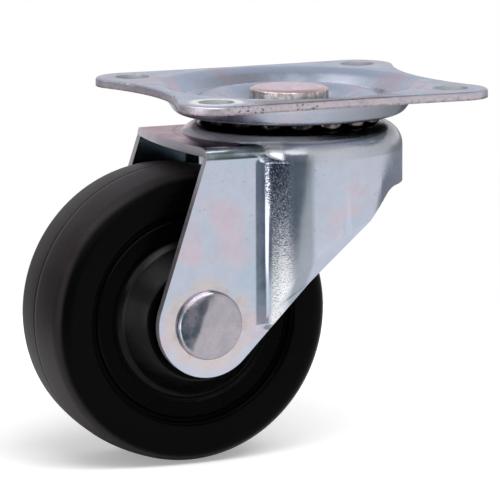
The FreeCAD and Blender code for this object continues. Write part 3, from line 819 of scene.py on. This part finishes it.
def arc(centre, radius, start, end, steps):
    """Points of an arc, angles in degrees"""
    points = []
    for i in range(steps + 1):
        a = math.radians(start + (end - start) * i / steps)
        points.append((centre[0] + radius * math.cos(a), centre[1] + radius * math.sin(a)))
    return points


def link_mesh(name, bm):
    """Puts a finished mesh into the scene as an object"""
    mesh = bpy.data.meshes.new(name)
    bm.to_mesh(mesh)
    bm.free()
    made = bpy.data.objects.new(name, mesh)
    bpy.context.scene.collection.objects.link(made)
    return made


def turned_on_axle(name, outline, segments):
    """Closed ring turned about the wheel's axle from an outline of (radius, place along Y)"""
    bm = bmesh.new()
    rings = []
    for i in range(segments):
        a = 2 * math.pi * i / segments
        across, up = math.cos(a), math.sin(a)
        rings.append([bm.verts.new((AXLE.x + r * across, y, AXLE.z + r * up)) for r, y in outline])
    count = len(outline)
    for i in range(segments):
        here, there = rings[i], rings[(i + 1) % segments]
        for k in range(count):
            j = (k + 1) % count
            bm.faces.new((here[k], here[j], there[j], there[k])).smooth = True
    bmesh.ops.recalc_face_normals(bm, faces=bm.faces)
    return link_mesh(name, bm)


# Operators, one for each group of pieces

class CASTOR_OT_pressed_steel(bpy.types.Operator):
    """Finish the fork and the top plate as bright zinc on pressed sheet"""

    bl_idname = "castor.pressed_steel"
    bl_label = "Pressed steel"

    def execute(self, context):
        soften_edges(dress("fork", fork_zinc("fork_zinc")), looks().edge_round)
        soften_edges(dress("top_plate", plate_zinc("plate_zinc")), looks().edge_round)
        dress("lower_race_cup", cup_zinc("cup_zinc"))
        return {"FINISHED"}


class CASTOR_OT_rivets(bpy.types.Operator):
    """Finish the kingpin, the axle rivet and its sleeve"""

    bl_idname = "castor.rivets"
    bl_label = "Rivets"

    def execute(self, context):
        rivet = rivet_zinc("rivet_zinc")
        soften_edges(dress("kingpin", kingpin_zinc("kingpin_zinc")), looks().edge_round)
        soften_edges(dress("axle_rivet", rivet), looks().edge_round)
        dress("axle_sleeve", rivet)
        return {"FINISHED"}


class CASTOR_OT_ball_races(bpy.types.Operator):
    """Finish the balls of both races as oiled steel"""

    bl_idname = "castor.ball_races"
    bl_label = "Ball races"

    def execute(self, context):
        steel = oiled_ball("ball_steel")
        for node in UPPER_BALLS + LOWER_BALLS:
            dress(node, steel)
        return {"FINISHED"}


def tyre_side(radius, sign):
    """Half outline from the tyre's seat over its bead and shoulder to the groove at the parting seam"""
    half = (TYRE_HIGH.y - TYRE_LOW.y) / 2
    edge = half - TYRE_SHOULDER
    seat = TYRE_SEAT_RADIUS
    points = [(seat, half - TYRE_SEAT_DEPTH), (seat + TYRE_BEAD_FOOT[0], half - TYRE_BEAD_FOOT[1])]
    bead = (seat + TYRE_BEAD_LEAN + TYRE_BEAD, half - TYRE_BEAD)
    points += arc(bead, TYRE_BEAD, 180, 90, TYRE_BEAD_STEPS)
    shoulder = (radius - TREAD_CROWN - TYRE_SHOULDER, edge)
    points += arc(shoulder, TYRE_SHOULDER, 90, 4, TYRE_SHOULDER_STEPS)
    for i in range(1, TREAD_STEPS):
        share = 1 - i / TREAD_STEPS
        points.append((radius - TREAD_CROWN * share ** 2, edge * share))
    points.append((radius, SEAM_HALF_WIDTH))
    points.append((radius - SEAM_DEPTH, SEAM_FLOOR_HALF_WIDTH))
    return [(r, sign * y) for r, y in points]


def moulded_tyre():
    """Tyre turned with a parting groove and a small step between its two moulded halves"""
    outer = (TYRE_HIGH.z - TYRE_LOW.z) / 2
    near, far = tyre_side(outer, -1), tyre_side(outer - SEAM_STEP, 1)
    return turned_on_axle("tyre_rubber", near + far[::-1], TYRE_SEGMENTS)


class CASTOR_OT_wheel(bpy.types.Operator):
    """Finish the tyre and the wheel's centre"""

    bl_idname = "castor.wheel"
    bl_label = "Wheel"

    def execute(self, context):
        tyre = moulded_tyre()
        tyre.data.materials.append(tread_rubber("tyre_rubber"))
        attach(tyre, "wheel")
        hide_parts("tyre")
        soften_edges(dress("wheel_core", gloss_plastic("core_plastic")), CORE_EDGE_ROUND)
        return {"FINISHED"}


# Studio

def white_world():
    """White background for the camera and for reflections, and soft grey light on the pieces"""
    world = bpy.data.worlds.new("studio")
    bpy.context.scene.world = world
    world.use_nodes = True
    tree = world.node_tree
    tree.nodes.clear()
    path = tree.nodes.new("ShaderNodeLightPath")
    seen = path.outputs["Is Camera Ray"]
    for other in ("Is Glossy Ray", "Is Transmission Ray"):
        add = tree.nodes.new("ShaderNodeMath")
        add.operation = "ADD"
        add.use_clamp = True
        tree.links.new(seen, add.inputs[0])
        tree.links.new(path.outputs[other], add.inputs[1])
        seen = add.outputs[0]
    soft = tree.nodes.new("ShaderNodeBackground")
    soft.inputs["Color"].default_value = ROOM_LIGHT
    white = tree.nodes.new("ShaderNodeBackground")
    white.inputs["Color"].default_value = WHITE
    blend = tree.nodes.new("ShaderNodeMixShader")
    out = tree.nodes.new("ShaderNodeOutputWorld")
    tree.links.new(seen, blend.inputs[0])
    tree.links.new(soft.outputs[0], blend.inputs[1])
    tree.links.new(white.outputs[0], blend.inputs[2])
    tree.links.new(blend.outputs[0], out.inputs["Surface"])


def pale_floor():
    """White disc that the wheel stands on, which keeps the castor's shadow"""
    bm = bmesh.new()
    bmesh.ops.create_circle(bm, cap_ends=True, radius=studio().floor_radius, segments=128)
    floor = link_mesh("floor", bm)
    floor.location.z = CAD_LOW.z
    n = Nodes("floor_white")
    seen = n.node("ShaderNodeLightPath").outputs["Is Camera Ray"]
    lit = n.node("ShaderNodeBsdfDiffuse", {"Color": FLOOR_WHITE})
    glow = n.node("ShaderNodeEmission", {"Color": WHITE, "Strength": n.times(seen, FLOOR_GLOW)})
    both = n.node("ShaderNodeAddShader")
    n.put(both.inputs[0], lit.outputs[0])
    n.put(both.inputs[1], glow.outputs[0])
    floor.data.materials.append(n.finish_with(both))


def around(azimuth, elevation, distance):
    """A place round the castor's middle, azimuth from +X towards +Y, in degrees"""
    a, e = math.radians(azimuth), math.radians(elevation)
    return MIDDLE + distance * Vector((math.cos(a) * math.cos(e), math.sin(a) * math.cos(e), math.sin(e)))


def softbox(name, azimuth, elevation, distance, width, height, power, reflected):
    """Area lamp that faces the castor"""
    data = bpy.data.lights.new(name, "AREA")
    data.shape = "RECTANGLE"
    data.size = width
    data.size_y = height
    data.energy = power
    lamp = bpy.data.objects.new(name, data)
    lamp.location = around(azimuth, elevation, distance)
    lamp.rotation_euler = (MIDDLE - lamp.location).to_track_quat("-Z", "Y").to_euler()
    lamp.visible_glossy = reflected
    bpy.context.scene.collection.objects.link(lamp)


def between(ends, share):
    """A value that lies this share of the way from the first end to the second"""
    return ends[0] + (ends[1] - ends[0]) * share


def grey_card(name, azimuths, elevations, lower, upper):
    """Curved studio card that only reflections see, shaded from its lower to its upper edge"""
    bm = bmesh.new()
    columns, rows = 12, 8
    grid = []
    for i in range(columns + 1):
        azimuth = between(azimuths, i / columns)
        levels = [between(elevations, k / rows) for k in range(rows + 1)]
        grid.append([bm.verts.new(around(azimuth, level, CARD_DISTANCE)) for level in levels])
    for i in range(columns):
        for k in range(rows):
            bm.faces.new((grid[i][k], grid[i + 1][k], grid[i + 1][k + 1], grid[i][k + 1]))
    card = link_mesh(name, bm)
    n = Nodes(name + "_paint")
    shade = lower if lower == upper else n.mix(n.axes(n.across)[2], lower, upper)
    paint = n.node("ShaderNodeEmission", {"Color": shade, "Strength": 1.0})
    card.data.materials.append(n.finish_with(paint))
    card.visible_camera = False
    card.visible_diffuse = False
    card.visible_shadow = False


def photo_camera():
    """Camera at the photograph's place and lens"""
    s = studio()
    data = bpy.data.cameras.new("camera")
    data.lens = s.lens
    data.clip_start = 0.01
    data.clip_end = 20.0
    camera = bpy.data.objects.new("camera", data)
    turn = Euler((math.pi / 2 - s.camera_drop, 0.0, -s.camera_turn)).to_matrix()
    aim = turn @ Matrix.Rotation(s.camera_roll, 3, "Z")
    camera.matrix_world = Matrix.Translation(s.camera_place) @ aim.to_4x4()
    bpy.context.scene.collection.objects.link(camera)
    bpy.context.scene.camera = camera


class CASTOR_OT_studio(bpy.types.Operator):
    """Set the pale floor, the soft light and the camera"""

    bl_idname = "castor.studio"
    bl_label = "Studio"

    def execute(self, context):
        context.scene.view_settings.view_transform = "Standard"
        white_world()
        pale_floor()
        for lamp in LAMPS:
            softbox(*lamp)
        for card in REFLECTOR_CARDS:
            grey_card(*card)
        photo_camera()
        return {"FINISHED"}


# Panel, registration and the run

STEPS = (CASTOR_OT_pressed_steel, CASTOR_OT_rivets, CASTOR_OT_ball_races, CASTOR_OT_wheel, CASTOR_OT_studio)


class CASTOR_PT_looks(bpy.types.Panel):
    """List the castor's sizes, colours and steps"""

    bl_idname = "CASTOR_PT_looks"
    bl_label = "Castor"
    bl_space_type = "VIEW_3D"
    bl_region_type = "UI"
    bl_category = "Castor"

    def draw(self, context):
        layout = self.layout
        for group in (context.scene.castor_finish, context.scene.castor_studio):
            for key in group.bl_rna.properties.keys():
                if key not in ("rna_type", "name"):
                    layout.prop(group, key)
        for step in STEPS:
            layout.operator(step.bl_idname)


CLASSES = (CastorFinish, CastorStudio) + STEPS + (CASTOR_PT_looks,)


def register():
    for cls in CLASSES:
        bpy.utils.register_class(cls)
    bpy.types.Scene.castor_finish = bpy.props.PointerProperty(type=CastorFinish)
    bpy.types.Scene.castor_studio = bpy.props.PointerProperty(type=CastorStudio)


def unregister():
    del bpy.types.Scene.castor_studio
    del bpy.types.Scene.castor_finish
    for cls in reversed(CLASSES):
        bpy.utils.unregister_class(cls)


def main():
    """Runs every step in order"""
    register()
    bpy.ops.castor.pressed_steel()
    bpy.ops.castor.rivets()
    bpy.ops.castor.ball_races()
    bpy.ops.castor.wheel()
    bpy.ops.castor.studio()


if __name__ == "__main__":
    main()
